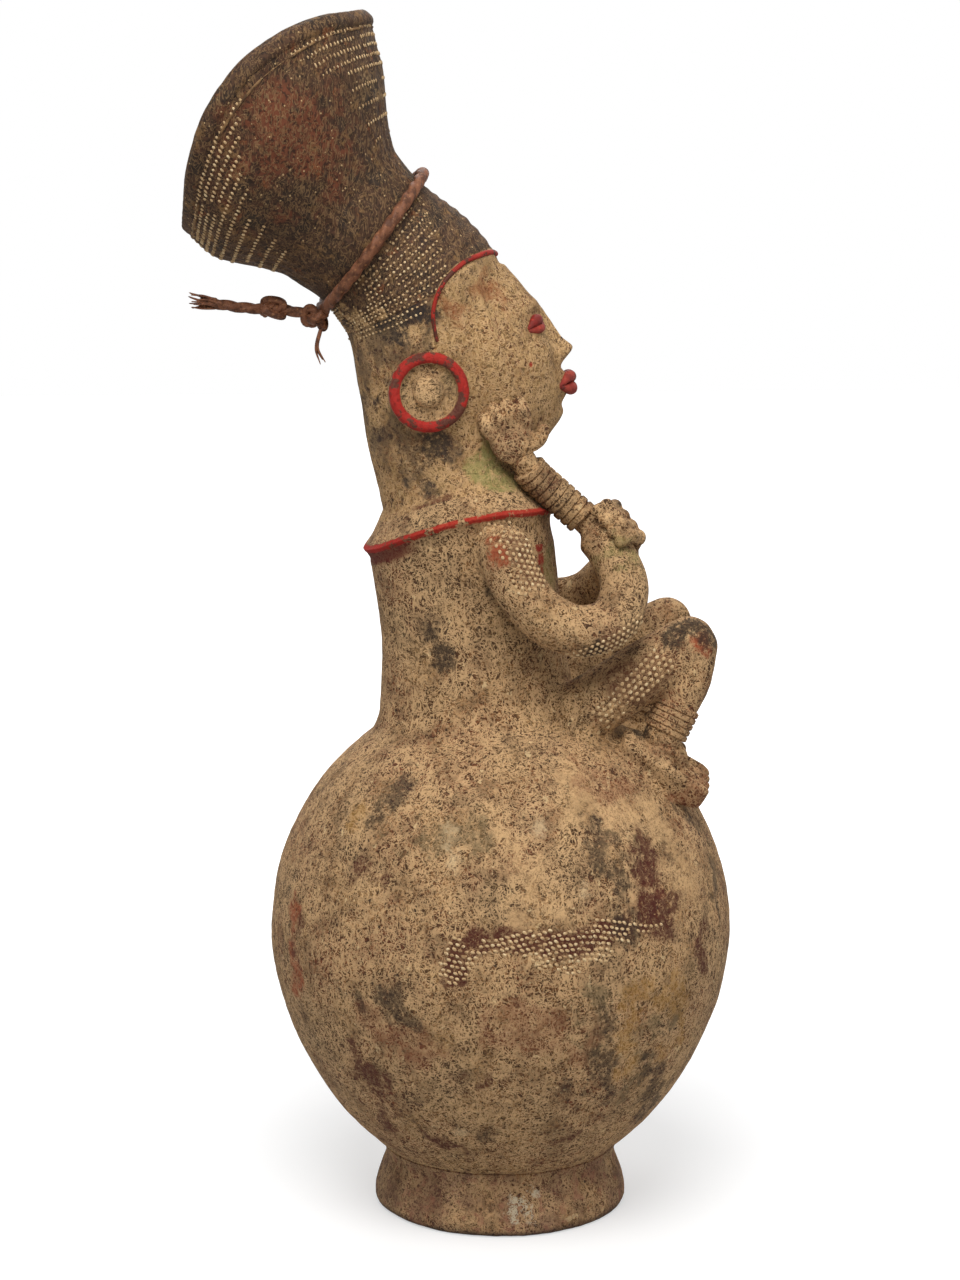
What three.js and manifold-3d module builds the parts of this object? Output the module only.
// A fired-clay figure jar: a globe on a flared foot, a seated figure's trunk and head as its neck,
// a leaning coiffure that flares to the mouth, and a twisted cord tied round the coiffure's waist.
// Millimetres, +Z up. The figure looks along -Y, and its right side is at -X.
import * as THREE from "three";
import { mergeVertices } from "three/addons/utils/BufferGeometryUtils.js";
import Module from "manifold-3d";

const wasm = await Module();
wasm.setup();

// Driving dimensions: walls and clearances
const GAP = 0.3; // left between neighbouring pieces where they were luted together
const WALL = 7; // trunk, head and coiffure
const GLOBE_WALL = 8;
const SLEEVE_GAP = 0.7; // between a limb and the rings round it
const FACETS = 24; // sides of the globe and the foot
const TRUNK_SIDES = 20; // sides of the trunk's slices

// Foot and globe
const FOOT_RADIUS = 62.5;
const FOOT_WAIST = 56; // its radius where it meets the globe
const FOOT_HEIGHT = 29;
const FOOT_WALL = 11;
const GLOBE_RADIUS = 113;
const GLOBE_RISE = 118; // from the widest level to the upper pole
const GLOBE_DROP = 132; // from the widest level to the lower pole
const LOWER_BULGE = 1.8; // the lower half is a little more conical than an ellipse, whose power is 2

// Trunk: heights along it, then half widths (across) and half depths (front to back) of its slices
const TORSO_RISE = 80; // from the globe's upper pole to the collar
const NECK_RISE = 72; // from the collar to the ears
const CROWN_RISE = 63.5; // from the ears to the coiffure's waist
const FLARE_RISE = 57; // from the coiffure's waist to the middle of its rim
const TORSO_WIDTH = 43.5;
const TORSO_DEPTH = 44;
const COLLAR_WIDTH = 49;
const COLLAR_DEPTH = 45.5;
const NECK_WIDTH = 32;
const NECK_DEPTH = 34.5;
const SKULL_WIDTH = 36;
const SKULL_DEPTH = 36.5;
const WAIST_WIDTH = 36;
const WAIST_DEPTH = 36.5;
const RIM_WIDTH = 73;
const RIM_DEPTH = 66;
const RIM_LIFT = 26; // the rim's sides stand this much above its front and back
const RIM_ROLL = 4.6; // radius of the rolled lip

// Head
const FACE_LENGTH = 90; // hairline to chin, in three equal thirds
const HEAD_WIDTH = 36;
const HEAD_DEPTH = 30;
const HEAD_BACK = 6; // its middle stands this much behind the foot's axis
const HEAD_HEIGHT = 52;
const HEAD_LEAN = 20; // degrees, back from upright
const EYE_WIDTH = 14.4; // a fifth of the face's width
const HAIRLINE_ROLL = 2.4; // radius of the roll along the hairline, and how far its middle stands out
const HAIRLINE_OUT = 0.8;
const LID = 2.4; // half thickness of an upper eyelid's middle
const LOWER_LID = 1.8;
const LIP = 2.8; // half thickness of the upper lip's middle
const LOWER_LIP = 3.2;
const CORNER = 1.2; // half thickness where lids and lips end
const NOSE_BRIDGE = 2.5; // radius between the brows
const NOSE_TIP = 5.5;
const NOSE_WING = 4.6; // from the middle of the nose to the middle of each wing
const EAR_RADIUS = 19;
const EAR_HOLLOW = 13.4;
const EAR_BOSS = 7.5;
const EAR_THICK = 7;
const EAR_DEPTH = 2.4; // of the hollow
const EAR_BEVEL = 2;

// Limbs
const ARM_RADIUS = 13;
const FOREARM_RADIUS = 10.8;
const WRIST_RADIUS = 6.2; // inside the bracelets
const BRACELET_RIB = 2.1;
const BRACELETS = 9;
const FINGER_RADIUS = 3.4;
const GRIP_STEP = 6.3; // between the fingers that hold the wrist
const GRIP_PALM = 5.5; // radius of the palm's edge beside the wrist
const GRIP_BACK = 8; // radius of the hand where it leaves its own arm
const BRACELETS_FROM = 0.75; // share of the arm's length
const PALM_LENGTH = 12; // half lengths of the hand on the cheek
const PALM_HEIGHT = 11;
const PALM_THICK = 4.5;
const FINGER_REACH = 20; // from the palm's middle to a fingertip
const THIGH_RADIUS = 15;
const KNEE_RADIUS = 12.5;
const SHIN_RADIUS = 11;
const ANKLE_RADIUS = 9.6; // inside the anklets
const ANKLET_RIB = 2.2;
const ANKLETS = 4;
const LEG_SIDE = 34; // the knees' distance from the middle plane
const FOOT_SIDE = 38;
const FOOT_FORWARD = 76; // where the feet stand on the globe
const FOOT_LENGTH = 44;
const FOOT_SLOPE = 27; // degrees, down towards the toes
const SOLE_RADIUS = 9;
const TOE_RADIUS = 5;
const TOE_STEP = 5.4;

// Cord
const CORD = 6; // diameter
const KNOT = 8; // half the width of the knot behind the coiffure
const TAIL_LENGTH = 45;
const TAIL_KNOT = 7; // half the length of the knot on the tail
const FRAY_LENGTH = 9;
const WISP_LENGTH = 15;

// A place by its distance to the figure's left, forward of the foot's axis, and above the ground.
const at = (side, forward, up) => new THREE.Vector3(side, -forward, up);
const radians = THREE.MathUtils.degToRad;

// Solids
function warped(geometry, move) {
  const position = geometry.attributes.position;
  const vertex = new THREE.Vector3();
  for (let i = 0; i < position.count; i += 1) {
    const moved = move(vertex.fromBufferAttribute(position, i));
    position.setXYZ(i, moved.x, moved.y, moved.z);
  }
  return geometry;
}

function solid(geometry) {
  geometry.deleteAttribute("normal");
  geometry.deleteAttribute("uv");
  const merged = mergeVertices(geometry, 0.001);
  const points = merged.attributes.position.array;
  const corner = (i) => new THREE.Vector3().fromArray(points, 3 * i);
  const faces = [];
  let volume = 0;
  for (let i = 0; i < merged.index.count; i += 3) {
    const [a, b, c] = merged.index.array.slice(i, i + 3);
    if (a !== b && b !== c && c !== a) {
      faces.push([a, b, c]);
      volume += corner(a).dot(corner(b).cross(corner(c)));
    }
  }
  const triVerts = Uint32Array.from(faces.flatMap(([a, b, c]) => (volume > 0 ? [a, b, c] : [a, c, b])));
  return new wasm.Manifold(new wasm.Mesh({ numProp: 3, vertProperties: new Float32Array(points), triVerts }));
}

const joined = (solids) => solids.reduce((whole, next) => whole.add(next));
const cut = (body, ...tools) => tools.reduce((left, tool) => left.subtract(tool), body);

function lathe(outline, sides = FACETS) {
  const points = outline.map(([radius, up]) => new THREE.Vector2(radius, up));
  return solid(new THREE.LatheGeometry(points, sides).rotateX(Math.PI / 2));
}

// A radius at share t of a limb, from a list of [share, radius] pairs
function through(pairs, t) {
  const next = Math.max(1, pairs.findIndex(([share]) => share >= t));
  const [[low, from], [high, to]] = [pairs[next - 1], pairs[next]];
  return THREE.MathUtils.lerp(from, to, THREE.MathUtils.smoothstep(t, low, high));
}

// A turned outline of (radius, distance) pairs, bent along a path; distances may run past the path's ends.
const FRAMES = 96;
function bent(outline, path, sides) {
  const length = path.getLength();
  const frames = path.computeFrenetFrames(FRAMES);
  const points = outline.map(([radius, distance]) => new THREE.Vector2(radius, distance));
  return solid(
    warped(new THREE.LatheGeometry(points, sides), ({ x, y, z }) => {
      const t = THREE.MathUtils.clamp(y / length, 0, 1);
      const tangent = path.getTangentAt(t);
      const normal = frames.normals[Math.round(t * FRAMES)].clone().projectOnPlane(tangent).normalize();
      const binormal = tangent.clone().cross(normal);
      const point = path.getPointAt(t).addScaledVector(tangent, y - t * length);
      return point.addScaledVector(normal, x).addScaledVector(binormal, z);
    }),
  );
}

// A round limb along a path, with round ends that reach the path's ends
const CAP_STEPS = 2;
function limb(path, radii, grow = 0, { sides = 10, step = 9 } = {}) {
  const length = path.getLength();
  const [first, last] = [radii[0][1], radii.at(-1)[1]];
  const runs = Math.max(2, Math.round((length - first - last) / step));
  const distances = radii.slice(1, -1).map(([share]) => share * length);
  const outline = [];
  for (let i = 0; i < CAP_STEPS; i += 1) {
    const angle = radians((90 * i) / CAP_STEPS);
    outline.push([(first + grow) * Math.sin(angle), first - (first + grow) * Math.cos(angle)]);
  }
  for (let i = 0; i <= runs; i += 1) distances.push(THREE.MathUtils.lerp(first, length - last, i / runs));
  for (const distance of distances.sort((a, b) => a - b)) {
    outline.push([through(radii, distance / length) + grow, distance]);
  }
  for (let i = 1; i <= CAP_STEPS; i += 1) {
    const angle = radians((90 * i) / CAP_STEPS);
    const radius = i < CAP_STEPS ? (last + grow) * Math.cos(angle) : 0;
    outline.push([radius, length - last + (last + grow) * Math.sin(angle)]);
  }
  return bent(outline, path, sides);
}

// A tube with flat ends
function tube(path, radius, from, to, steps = 1, sides = 8) {
  const outline = [[0, from]];
  for (let i = 0; i <= steps; i += 1) outline.push([radius, THREE.MathUtils.lerp(from, to, i / steps)]);
  outline.push([0, to]);
  return bent(outline, path, sides);
}

const curve = (...points) => new THREE.CatmullRomCurve3(points);

// A ribbed sleeve round a limb's path, from one distance to another, with its bore clear of the limb
const BORE_STEP = 7;
function sleeve(path, from, to, radius, rib, count) {
  const bore = radius + SLEEVE_GAP;
  const groove = bore + rib / 4;
  const pitch = (to - from) / count;
  const outline = [];
  for (let i = 0; i < count; i += 1) {
    const start = from + i * pitch;
    outline.push([groove, start], [bore + rib, start + 0.3 * pitch], [bore + rib, start + 0.7 * pitch]);
  }
  outline.push([groove, to]);
  const steps = Math.ceil((to - from) / BORE_STEP);
  for (let i = steps; i >= 0; i -= 1) outline.push([bore, THREE.MathUtils.lerp(from, to, i / steps)]);
  outline.push(outline[0]);
  return bent(outline, path, 10);
}

// A closed ring: place(angle) gives its centre line, and out and up span its round section.
function hoop(place, radius, { sides = 8, steps = 28 } = {}) {
  const arm = 10;
  return solid(
    warped(new THREE.TorusGeometry(arm, 1, sides, steps), ({ x, y, z }) => {
      const { point, out, up } = place(Math.atan2(y, x));
      const offset = Math.hypot(x, y) - arm;
      return point.clone().addScaledVector(out, offset * radius).addScaledVector(up, z * radius);
    }),
  );
}

function ellipsoid(centre, across, along, high, lean = 0, sides = 12, rings = 6) {
  const ball = new THREE.SphereGeometry(1, sides, rings).rotateX(Math.PI / 2);
  ball.scale(across, along, high);
  ball.rotateX(-radians(lean));
  ball.translate(centre.x, centre.y, centre.z);
  return solid(ball);
}

// Globe and foot: the globe is built in two bowls that meet at its widest level.
const lowerShare = (1 - (FOOT_WAIST / GLOBE_RADIUS) ** LOWER_BULGE) ** (1 / LOWER_BULGE);
const widest = FOOT_HEIGHT + GLOBE_DROP * lowerShare;
const globeTop = widest + GLOBE_RISE;

function globeRadius(up, grow = 0) {
  const power = up > widest ? 2 : LOWER_BULGE;
  const reach = (up > widest ? GLOBE_RISE : GLOBE_DROP) + grow;
  const share = Math.min(1, Math.abs(up - widest) / reach);
  return (GLOBE_RADIUS + grow) * (1 - share ** power) ** (1 / power);
}

function globeUp(side, forward) {
  const share = Math.hypot(side, forward) / GLOBE_RADIUS;
  return widest + GLOBE_RISE * Math.sqrt(1 - share * share);
}

function globeBody(grow) {
  const outline = [];
  const bands = 14;
  for (let i = 0; i <= bands; i += 1) {
    const turn = Math.cos((Math.PI * i) / bands);
    const up = widest + (turn < 0 ? GLOBE_RISE + grow : GLOBE_DROP + grow) * -turn;
    outline.push([i % bands ? globeRadius(up, grow) : 0, up]);
  }
  return lathe(outline);
}

// A block that is wider than the globe, between two heights
function slab(from, to) {
  const width = 3 * GLOBE_RADIUS;
  return solid(new THREE.BoxGeometry(width, width, to - from).translate(0, 0, (from + to) / 2));
}

function footBody() {
  const inner = FOOT_RADIUS - FOOT_WALL;
  return lathe([
    [inner, 0],
    [FOOT_RADIUS - 2.5, 0],
    [FOOT_RADIUS, 3],
    [FOOT_RADIUS - 0.3, 8],
    [FOOT_RADIUS - 2.5, 15],
    [FOOT_WAIST + 0.6, 25],
    [FOOT_WAIST, FOOT_HEIGHT + 8],
    [FOOT_WAIST - FOOT_WALL, FOOT_HEIGHT + 8],
    [inner, 0],
  ]);
}

// The trunk is lofted through slices, each with its middle, its lean back, its half width and its half depth.
const collarUp = globeTop + TORSO_RISE;
const earUp = collarUp + NECK_RISE;
const waistUp = earUp + CROWN_RISE;
const rimUp = waistUp + FLARE_RISE;
const slice = (forward, up, lean, width, depth, lift = 0) => ({ forward, up, lean, width, depth, lift });
const SLICES = [
  slice(-8, globeTop - 40, 0, TORSO_WIDTH + 8, TORSO_DEPTH + 10),
  slice(-10, globeTop - 11, 0, TORSO_WIDTH + 1.5, TORSO_DEPTH + 5),
  slice(-14, globeTop + 0.36 * TORSO_RISE, 0, TORSO_WIDTH, TORSO_DEPTH),
  slice(-18, collarUp - 16, 5, TORSO_WIDTH + 2, TORSO_DEPTH + 0.5),
  slice(-20.5, collarUp, 12, COLLAR_WIDTH, COLLAR_DEPTH),
  slice(-21, collarUp + 15, 9, NECK_WIDTH + 4, NECK_DEPTH + 3),
  slice(-26, collarUp + 29, 8, NECK_WIDTH, NECK_DEPTH),
  slice(-29.5, collarUp + 48, 6, NECK_WIDTH + 1, NECK_DEPTH + 1),
  slice(-32, earUp, 8, SKULL_WIDTH, SKULL_DEPTH),
  slice(-38, earUp + 40, 27, SKULL_WIDTH + 2, SKULL_DEPTH + 3.5),
  slice(-60, waistUp, 49, WAIST_WIDTH, WAIST_DEPTH),
  slice(-76, waistUp + 14.5, 49, WAIST_WIDTH + 4, WAIST_DEPTH + 2, 0.12 * RIM_LIFT),
  slice(-96.5, rimUp - 17, 48.5, RIM_WIDTH - 8, RIM_DEPTH - 6, 0.65 * RIM_LIFT),
  slice(-106, rimUp, 49, RIM_WIDTH, RIM_DEPTH, RIM_LIFT),
  slice(-111, rimUp + 8, 49, RIM_WIDTH + 4, RIM_DEPTH + 3, 1.2 * RIM_LIFT),
];
// Where its pieces part, counted in slices from the first one
const COLLAR_LOW = 3.25;
const COLLAR_HIGH = 4.7;
const JAW = 6.25;
const HAIRLINE = 9;
const WAIST = 10;
const RIM = 13;

const middles = curve(...SLICES.map(({ forward, up }) => at(0, forward, up)));
const spans = curve(...SLICES.map(({ width, depth }) => new THREE.Vector3(width, depth, 0)));
const leans = curve(...SLICES.map(({ lean, lift }) => new THREE.Vector3(lean, lift, 0)));

// A point of the trunk's surface: angle 0 is the front and a quarter turn is the figure's left.
function trunkPlace(level, across, ahead, grow = 0) {
  const t = level / (SLICES.length - 1);
  const { x: width, y: depth } = spans.getPoint(t);
  const { x: lean, y: lift } = leans.getPoint(t);
  const front = at(0, Math.cos(radians(lean)), Math.sin(radians(lean)));
  const along = at(0, -Math.sin(radians(lean)), Math.cos(radians(lean)));
  return middles
    .getPoint(t)
    .addScaledVector(new THREE.Vector3(1, 0, 0), across * (width + grow))
    .addScaledVector(front, ahead * (depth + grow))
    .addScaledVector(along, lift * across * across);
}

// Every body of the trunk has its rings at the same levels, so neighbours keep their gap.
const RINGS_PER_SLICE = 2;
function trunkBody(from, to, grow = 0) {
  const levels = [from];
  for (let i = Math.floor(from * RINGS_PER_SLICE) + 1; i < to * RINGS_PER_SLICE; i += 1) {
    levels.push(i / RINGS_PER_SLICE);
  }
  levels.push(to);
  const outline = [[0, from], ...levels.map((level) => [1, level]), [0, to]];
  const points = outline.map(([across, level]) => new THREE.Vector2(across, level));
  const move = ({ x, y, z }) => trunkPlace(y, x, z, grow);
  return solid(warped(new THREE.LatheGeometry(points, TRUNK_SIDES), move));
}

// How far along the slices a gap reaches, at a level
function gapAt(level) {
  const step = 0.05;
  const here = middles.getPoint(level / (SLICES.length - 1));
  const next = middles.getPoint((level + step) / (SLICES.length - 1));
  return (step * GAP) / here.distanceTo(next);
}

function trunkSlice(from, to) {
  return trunkBody(from + gapAt(from) / 2, to - gapAt(to) / 2);
}

const globeOuter = globeBody(0);
const globeClear = globeBody(GAP);
const bore = trunkBody(0, SLICES.length - 1, -WALL);
const trunkClear = trunkBody(0, RIM, GAP);

// Head: an egg on the trunk; places on the face go by its width and its height above the egg's middle.
const headMiddle = at(0, -HEAD_BACK, earUp + 12);
const headUp = at(0, -Math.sin(radians(HEAD_LEAN)), Math.cos(radians(HEAD_LEAN)));
const headFront = at(0, Math.cos(radians(HEAD_LEAN)), Math.sin(radians(HEAD_LEAN)));
const chin = -0.51 * FACE_LENGTH;
const noseBase = chin + FACE_LENGTH / 3;
const brow = noseBase + FACE_LENGTH / 3;
const eyeLine = brow - 0.6 * EYE_WIDTH;
const mouth = noseBase - FACE_LENGTH / 9;

function facePlace(side, high, out = 0) {
  const share = Math.min(0.98, (side / HEAD_WIDTH) ** 2 + (high / HEAD_HEIGHT) ** 2);
  const ahead = HEAD_DEPTH * Math.sqrt(1 - share) + out;
  return headMiddle.clone().addScaledVector(headUp, high).addScaledVector(headFront, ahead).setX(side);
}

function egg(grow) {
  return ellipsoid(headMiddle, HEAD_WIDTH + grow, HEAD_DEPTH + grow, HEAD_HEIGHT + grow, HEAD_LEAN, 20, 12);
}

const headClear = trunkClear.add(egg(GAP));

function headBody() {
  const outer = egg(0).add(trunkSlice(JAW, HAIRLINE));
  const neckClear = trunkBody(COLLAR_HIGH, JAW, GAP);
  const hairClear = trunkBody(HAIRLINE, WAIST + 1, GAP);
  return cut(outer, neckClear, hairClear, bore, egg(-WALL));
}

function eyelid(side, bow, thick, grow = 0) {
  const corner = EYE_WIDTH * 0.5;
  const path = curve(
    facePlace(side * EYE_WIDTH - corner, eyeLine, CORNER / 2),
    facePlace(side * EYE_WIDTH, eyeLine + bow, CORNER),
    facePlace(side * EYE_WIDTH + corner, eyeLine, CORNER / 2),
  );
  return limb(path, [[0, CORNER], [0.5, thick], [1, CORNER]], grow, { sides: 8, step: 4 });
}

function noseBody() {
  const tip = facePlace(0, noseBase + 3, 7);
  const bridge = curve(facePlace(0, brow, -1), facePlace(0, (brow + noseBase) / 2, 2.5), tip);
  const ridge = limb(bridge, [[0, NOSE_BRIDGE], [0.5, (NOSE_BRIDGE + NOSE_TIP) / 2], [1, NOSE_TIP]]);
  const wings = [-1, 1].map((hand) => {
    const place = facePlace(hand * NOSE_WING, noseBase + 3, 3.5);
    return ellipsoid(place, 0.65 * NOSE_TIP, NOSE_TIP, 0.73 * NOSE_TIP);
  });
  return cut(joined([ridge, ...wings]), headClear);
}

function lip(high, thick, grow = 0) {
  const half = 0.78 * EYE_WIDTH;
  const path = curve(facePlace(-half, mouth, 0), facePlace(0, mouth + high, 2), facePlace(half, mouth, 0));
  return limb(path, [[0, CORNER], [0.5, thick], [1, CORNER]], grow, { sides: 8, step: 5 });
}

// Moves a place out of the head's egg until it stands that far from its surface.
function outsideEgg(place, out) {
  const offset = place.clone().sub(headMiddle);
  const [high, ahead] = [offset.dot(headUp), offset.dot(headFront)];
  const share = Math.hypot(offset.x / HEAD_WIDTH, high / HEAD_HEIGHT, ahead / HEAD_DEPTH);
  const needed = 1 + out / HEAD_DEPTH;
  return share < needed ? headMiddle.clone().addScaledVector(offset, needed / share) : place;
}

function hairlineBody() {
  const points = [];
  for (let i = -5; i <= 5; i += 1) {
    const angle = radians(19 * i);
    const place = trunkPlace(HAIRLINE - 0.022 * i * i, Math.sin(angle), Math.cos(angle), HAIRLINE_OUT);
    points.push(outsideEgg(place, HAIRLINE_OUT));
  }
  const radii = [[0, 0.8 * HAIRLINE_ROLL], [0.5, HAIRLINE_ROLL], [1, 0.8 * HAIRLINE_ROLL]];
  const roll = limb(curve(...points), radii, 0, { sides: 6, step: 9 });
  return cut(roll, headClear);
}

// Ears are raised rings round a hollow, and a boss stands in each hollow.
function earMiddle(hand) {
  return at(hand * (SKULL_WIDTH - 3), -38, earUp - 4);
}

function earTurned(outline, hand, clear) {
  const points = outline.map(([radius, out]) => new THREE.Vector2(radius, out));
  const disc = new THREE.LatheGeometry(points, 28).rotateZ((-hand * Math.PI) / 2);
  const middle = earMiddle(hand);
  return cut(solid(disc.translate(middle.x, middle.y, middle.z)), ...clear);
}

function earBody(hand) {
  const floor = EAR_THICK - EAR_DEPTH;
  const outline = [[0, 0], [EAR_RADIUS, 0], [EAR_RADIUS, EAR_THICK - EAR_BEVEL]];
  outline.push([EAR_RADIUS - EAR_BEVEL, EAR_THICK], [EAR_HOLLOW + EAR_BEVEL, EAR_THICK]);
  outline.push([EAR_HOLLOW, floor], [0, floor]);
  return earTurned(outline, hand, [headClear]);
}

function earBoss(hand) {
  const base = EAR_THICK - EAR_DEPTH + GAP;
  const outline = [[0, base], [EAR_BOSS, base], [EAR_BOSS - 0.8, base + 2]];
  outline.push([EAR_BOSS / 2, base + 3], [0, base + 3.2]);
  return earTurned(outline, hand, []);
}

// Arms: the right hand lies on the right cheek, and the left hand holds the right wrist.
const shoulder = TORSO_WIDTH + 2.5;
const shoulderUp = collarUp + 5;
const cheek = HEAD_WIDTH - 5;
const cheekUp = earUp - 27;
const palmMiddle = at(-cheek, 2, cheekUp);
const rightArmPath = curve(
  at(-shoulder, -6, shoulderUp),
  at(-shoulder - 5, 0, shoulderUp - 21),
  at(-shoulder - 9, 12, shoulderUp - 39),
  at(-shoulder - 9, 30, shoulderUp - 48),
  at(-shoulder - 5, 47, shoulderUp - 44),
  at(-shoulder + 3, 54, shoulderUp - 30),
  at(-shoulder + 11, 50, shoulderUp - 16),
  at(-cheek + 4, 40, cheekUp - 42),
  at(-cheek + 6, 25, cheekUp - 28),
  at(-cheek + 4, 11, cheekUp - 15),
  at(-cheek + 1, 5, cheekUp - 5),
);
const leftArmPath = curve(
  at(shoulder, -6, shoulderUp),
  at(shoulder + 5, 0, shoulderUp - 21),
  at(shoulder + 9, 12, shoulderUp - 39),
  at(shoulder + 9, 30, shoulderUp - 49),
  at(shoulder + 3, 48, shoulderUp - 46),
  at(shoulder - 13, 58, shoulderUp - 33),
  at(shoulder - 32, 60, shoulderUp - 19),
  at(shoulder - 46, 54, shoulderUp - 9),
);
const rightArmLength = rightArmPath.getLength();
const braceletStart = BRACELETS_FROM * rightArmLength;
const braceletEnd = rightArmLength - 0.9 * PALM_HEIGHT;
const rightArmRadii = [
  [0, ARM_RADIUS],
  [0.45, ARM_RADIUS - 1],
  [BRACELETS_FROM - 0.06, FOREARM_RADIUS],
  [BRACELETS_FROM - 0.02, WRIST_RADIUS],
  [1, WRIST_RADIUS],
];
const leftArmRadii = [[0, ARM_RADIUS], [0.6, ARM_RADIUS - 1], [1, FOREARM_RADIUS - 1.8]];

const rightArmClear = limb(rightArmPath, rightArmRadii, GAP);
const leftArmClear = limb(leftArmPath, leftArmRadii, GAP);

function braceletsBody() {
  const rings = sleeve(rightArmPath, braceletStart, braceletEnd, WRIST_RADIUS, BRACELET_RIB, BRACELETS);
  return cut(rings, headClear);
}

function finger(path, radius = FINGER_RADIUS) {
  return limb(path, [[0, radius], [1, radius]], 0, { sides: 6, step: 7 });
}

function rightHandBody() {
  const palm = ellipsoid(palmMiddle, PALM_THICK, PALM_LENGTH, PALM_HEIGHT, HEAD_LEAN);
  const fingers = [0, 1, 2, 3].map((i) => {
    const turn = radians(-35 + 24 * i);
    const way = at(0, Math.sin(turn), Math.cos(turn));
    const reach = FINGER_REACH + (i % 3 ? 3 : 0);
    const root = palmMiddle.clone().addScaledVector(way, 0.25 * reach);
    return finger(curve(root, palmMiddle.clone().addScaledVector(way, reach).add(at(0.6 * i - 2, 0, 0))));
  });
  const thumbRoot = palmMiddle.clone().add(at(1, 6, -3));
  const thumb = finger(curve(thumbRoot, thumbRoot.clone().add(at(3, 10, 8))));
  const sleeveRadius = WRIST_RADIUS + SLEEVE_GAP + BRACELET_RIB + GAP;
  const sleeveClear = tube(rightArmPath, sleeveRadius, braceletStart, braceletEnd + GAP, 3, 10);
  return cut(joined([palm, ...fingers, thumb]), headClear, rightArmClear, sleeveClear);
}

// The left hand's palm is on the far side of the right wrist, and its fingers come over the wrist's top.
function leftHandBody() {
  const grip = BRACELETS_FROM - 0.07;
  const middle = rightArmPath.getPointAt(grip);
  const along = rightArmPath.getTangentAt(grip);
  const over = at(0, 0.75, 0.66).projectOnPlane(along).normalize();
  const across = new THREE.Vector3().crossVectors(along, over);
  const reach = FOREARM_RADIUS + FINGER_RADIUS - 0.6;
  const place = (turn, run) =>
    middle
      .clone()
      .addScaledVector(along, run)
      .addScaledVector(over, reach * Math.cos(radians(turn)))
      .addScaledVector(across, reach * Math.sin(radians(turn)));
  const width = 3 * GRIP_STEP;
  const fingers = [0, 1, 2, 3].map((i) => {
    const run = i * GRIP_STEP - width / 2;
    return finger(curve(...[95, 50, 5, -40, -75].map((turn) => place(turn, run))));
  });
  const palmPath = curve(place(95, -width / 2 - FINGER_RADIUS), place(95, width / 2 + FINGER_RADIUS));
  const palm = limb(palmPath, [[0, GRIP_PALM], [1, GRIP_PALM]]);
  const back = limb(curve(place(110, 0), leftArmPath.getPointAt(0.94)), [[0, GRIP_BACK], [1, GRIP_BACK]]);
  return cut(joined([palm, back, ...fingers]), rightArmClear, leftArmClear, headClear);
}

// Legs: thighs rise from the lap to the knees, shins come down, and the feet stand on the globe.
const soleUp = globeUp(FOOT_SIDE, FOOT_FORWARD);
const kneeUp = globeTop + 28;
function thighPath(hand) {
  return curve(
    at(hand * (LEG_SIDE - 8), 22, globeTop - 16),
    at(hand * (LEG_SIDE - 2), 56, globeTop + 7),
    at(hand * LEG_SIDE, 98, globeTop + 34),
  );
}
function shinPath(hand) {
  return curve(
    at(hand * LEG_SIDE, 91, kneeUp + 9),
    at(hand * (LEG_SIDE + 1), 86, kneeUp - 20),
    at(hand * FOOT_SIDE, 70, soleUp + 14),
  );
}
const thighRadii = [[0, THIGH_RADIUS + 1], [0.5, THIGH_RADIUS], [1, KNEE_RADIUS]];
const shinRadii = [[0, KNEE_RADIUS - 1], [0.4, SHIN_RADIUS], [0.65, ANKLE_RADIUS], [1, ANKLE_RADIUS]];

function legBody(hand, grow) {
  return limb(thighPath(hand), thighRadii, grow).add(limb(shinPath(hand), shinRadii, grow));
}

function ankletsBody(hand) {
  const path = shinPath(hand);
  const end = path.getLength() - ANKLE_RADIUS - 2;
  const rings = sleeve(path, end - 15, end, ANKLE_RADIUS + 0.4, ANKLET_RIB, ANKLETS);
  return cut(rings, globeClear, limb(thighPath(hand), thighRadii, GAP));
}

function footPiece(hand) {
  const heel = at(hand * FOOT_SIDE, FOOT_FORWARD - 15, soleUp + 15);
  const slope = at(0, Math.cos(radians(FOOT_SLOPE)), -Math.sin(radians(FOOT_SLOPE)));
  const rise = at(0, Math.sin(radians(FOOT_SLOPE)), Math.cos(radians(FOOT_SLOPE)));
  const instep = curve(heel, heel.clone().addScaledVector(slope, FOOT_LENGTH - 4));
  const sole = limb(instep, [[0, SOLE_RADIUS], [1, SOLE_RADIUS]]);
  const knuckles = heel.clone().addScaledVector(slope, FOOT_LENGTH - 28).addScaledVector(rise, 2);
  const toes = [-1.5, -0.5, 0.5, 1.5].map((i) => {
    const start = knuckles.clone().add(at(TOE_STEP * i, 0, 0));
    return finger(curve(start, start.clone().addScaledVector(slope, 28)), TOE_RADIUS);
  });
  return cut(joined([sole, ...toes]), globeClear, legBody(hand, GAP));
}

// Cord: a loop round the coiffure's waist, its knot at the back, and a short stiff tail with its own knot
const loopOut = CORD / 2 + 2 * GAP;
function loopPlace(angle, out = loopOut) {
  const level = WAIST + 0.1 + 0.12 * Math.cos(angle);
  const place = (turn, reach) => trunkPlace(level, Math.sin(turn), Math.cos(turn), reach);
  const point = place(angle, out);
  const outward = point.clone().sub(place(angle, out - 1)).normalize();
  const next = place(angle + 0.01, out);
  return { point, out: outward, up: next.sub(point).normalize().cross(outward) };
}

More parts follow.
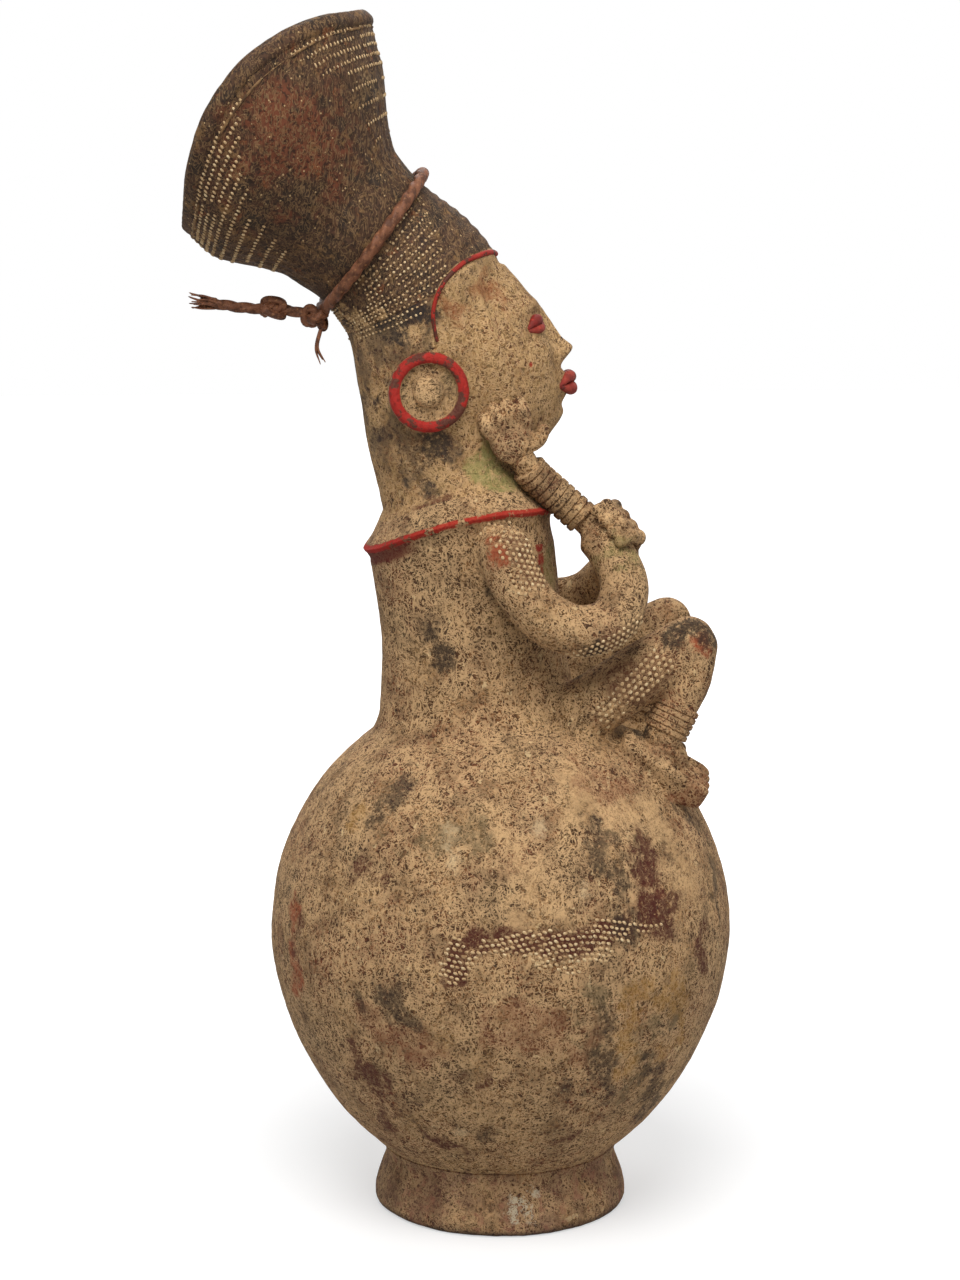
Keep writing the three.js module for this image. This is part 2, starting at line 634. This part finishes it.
const loop = hoop((angle) => loopPlace(angle), CORD / 2);
const loopClear = hoop((angle) => loopPlace(angle), CORD / 2 + GAP);
const knotMiddle = loopPlace(radians(-170), loopOut + CORD - 1).point;
const knotLump = (grow) => ellipsoid(knotMiddle, KNOT + grow, 0.8 * KNOT + grow, KNOT + grow);
const tailStart = knotMiddle.clone().add(at(2, -0.5 * KNOT, 1.5));

function tailPath() {
  return curve(
    tailStart,
    tailStart.clone().add(at(1, -0.3 * TAIL_LENGTH, 2.5)),
    tailStart.clone().add(at(0, -0.62 * TAIL_LENGTH, 3)),
    tailStart.clone().add(at(-2, -TAIL_LENGTH, 5.5)),
  );
}

const tailKnotAt = 0.36 * TAIL_LENGTH;
function tailTube(grow = 0) {
  const path = tailPath();
  return tube(path, CORD / 2 + grow, -grow, path.getLength() + grow, 5);
}

function tailKnotBody() {
  const path = tailPath();
  const outline = [[0, tailKnotAt - TAIL_KNOT]];
  for (let i = 1; i < 6; i += 1) {
    const angle = radians(30 * i);
    outline.push([CORD * 1.05 * Math.sin(angle), tailKnotAt - TAIL_KNOT * Math.cos(angle)]);
  }
  outline.push([0, tailKnotAt + TAIL_KNOT]);
  return cut(bent(outline, path, 10), tailTube(GAP));
}

function frayBody() {
  const path = tailPath();
  const end = path.getPointAt(1);
  const ahead = path.getTangentAt(1);
  const along = (distance) => end.clone().addScaledVector(ahead, distance);
  const base = tube(curve(along(GAP), along(4)), 0.4 * CORD, 0, 4 - GAP);
  const strands = [0, 1, 2, 3, 4].map((i) => {
    const turn = radians(72 * i);
    const out = new THREE.Vector3(Math.cos(turn), 0, Math.sin(turn));
    const root = along(2).addScaledVector(out, CORD / 6);
    const tip = along(FRAY_LENGTH + (i % 2) * 3).addScaledVector(out, 0.55 * CORD);
    return limb(curve(root, tip), [[0, 0.15 * CORD], [1, 0.1 * CORD]], 0, { sides: 5 });
  });
  return joined([base, ...strands]);
}

function wispBody() {
  const start = knotMiddle.clone().add(at(-3, 2, 1 - KNOT));
  const middle = start.clone().add(at(-1, -2, -WISP_LENGTH / 2));
  const path = curve(start, middle, start.clone().add(at(-1, 1, -WISP_LENGTH)));
  const strand = limb(path, [[0, 1.3], [1, 0.7]], 0, { sides: 6, step: 4 });
  return cut(strand, knotLump(GAP), trunkClear);
}

// Finishes: the colour of each kind of surface
const CRUST = 0x9b8463;
const HAIR = 0x4a382c;
const RED = 0xa0281e;
const FOOT_CLAY = 0x6d5547;
const CORD_BROWN = 0x6a3f2a;

const vessel = new THREE.Group();
function piece(name, body, color, roughness = 0.85) {
  const { vertProperties, triVerts } = body.getMesh();
  const geometry = new THREE.BufferGeometry();
  geometry.setAttribute("position", new THREE.Float32BufferAttribute(vertProperties, 3));
  geometry.setIndex(Array.from(triVerts));
  const mesh = new THREE.Mesh(geometry, new THREE.MeshStandardMaterial({ color, roughness, metalness: 0 }));
  mesh.name = name;
  vessel.add(mesh);
}

// Vessel body
piece("foot_ring", cut(footBody(), globeClear), FOOT_CLAY);
const globeShell = cut(globeOuter, globeBody(-GLOBE_WALL), bore);
piece("globe_lower", cut(globeShell, slab(widest - GAP / 2, globeTop)), CRUST);
piece("globe_upper", cut(globeShell, slab(0, widest + GAP / 2)), CRUST);
piece("torso", cut(trunkBody(0, COLLAR_LOW - gapAt(COLLAR_LOW)), bore, globeClear), CRUST);
piece("collar", cut(trunkSlice(COLLAR_LOW, COLLAR_HIGH), bore), RED);
piece("neck", cut(trunkSlice(COLLAR_HIGH, JAW), bore), CRUST);
piece("head", headBody(), CRUST);

const rimPlace = (angle) => {
  const [across, ahead] = [Math.sin(angle), Math.cos(angle)];
  const point = trunkPlace(RIM, across, ahead, -WALL / 2);
  const out = trunkPlace(RIM, across, ahead, 1 - WALL / 2).sub(point).normalize();
  const next = trunkPlace(RIM, Math.sin(angle + 0.01), Math.cos(angle + 0.01), -WALL / 2).sub(point);
  return { point, out, up: next.normalize().cross(out) };
};
piece("coiffure", cut(trunkSlice(HAIRLINE, RIM), bore, hoop(rimPlace, RIM_ROLL + GAP)), HAIR);
piece("coiffure_rim", hoop(rimPlace, RIM_ROLL), HAIR);

// Face and ears
piece("hairline_roll", hairlineBody(), RED);
piece("nose", noseBody(), CRUST);
piece("upper_lip", cut(lip(LIP - 0.4, LIP), headClear), RED);
piece("lower_lip", cut(lip(-LOWER_LIP - 0.4, LOWER_LIP), lip(LIP - 0.4, LIP, GAP), headClear), RED);
for (const [side, hand] of [["right", -1], ["left", 1]]) {
  piece(`${side}_ear_ring`, earBody(hand), RED);
  piece(`${side}_ear_boss`, earBoss(hand), CRUST);
  const upperLid = (grow) => eyelid(hand, 4, LID, grow);
  piece(`${side}_upper_eyelid`, cut(upperLid(0), headClear), RED);
  piece(`${side}_lower_eyelid`, cut(eyelid(hand, -3, LOWER_LID), upperLid(GAP), headClear), RED);
}

// Arms
const legsClear = joined([legBody(-1, GAP), legBody(1, GAP)]);
piece("right_arm", cut(limb(rightArmPath, rightArmRadii), headClear, legsClear), CRUST);
piece("right_bracelets", braceletsBody(), CRUST);
piece("right_hand", rightHandBody(), CRUST);
piece("left_arm", cut(limb(leftArmPath, leftArmRadii), headClear, rightArmClear, legsClear), CRUST);
piece("left_hand", leftHandBody(), CRUST);

// Legs
for (const [side, hand] of [["right", -1], ["left", 1]]) {
  piece(`${side}_leg`, cut(legBody(hand, 0), trunkClear, globeClear), CRUST);
  piece(`${side}_anklets`, ankletsBody(hand), CRUST);
  piece(`${side}_foot`, footPiece(hand), CRUST);
}

// Cord
piece("cord_loop", loop, CORD_BROWN, 0.7);
piece("cord_knot", cut(knotLump(0), loopClear, trunkClear), CORD_BROWN, 0.7);
piece("cord_wisp", wispBody(), CORD_BROWN, 0.7);
piece("cord_tail", cut(tailTube(), knotLump(GAP)), CORD_BROWN, 0.7);
piece("tail_knot", tailKnotBody(), CORD_BROWN, 0.7);
piece("frayed_end", frayBody(), CORD_BROWN, 0.7);

// The origin is on the ground under the middle of the whole, so the foot stands a little forward of it.
const CORD_TAIL = ["cord_tail", "tail_knot", "frayed_end"];
const box = new THREE.Box3();
for (const mesh of vessel.children) {
  if (!CORD_TAIL.includes(mesh.name)) box.expandByObject(mesh, true);
}
const middle = box.getCenter(new THREE.Vector3());
vessel.position.set(-middle.x, -middle.y, -box.min.z);
const size = box.getSize(new THREE.Vector3());
console.log("foot's axis at y", (-middle.y).toFixed(2), "size", size.toArray().map(Math.round));

export default vessel;
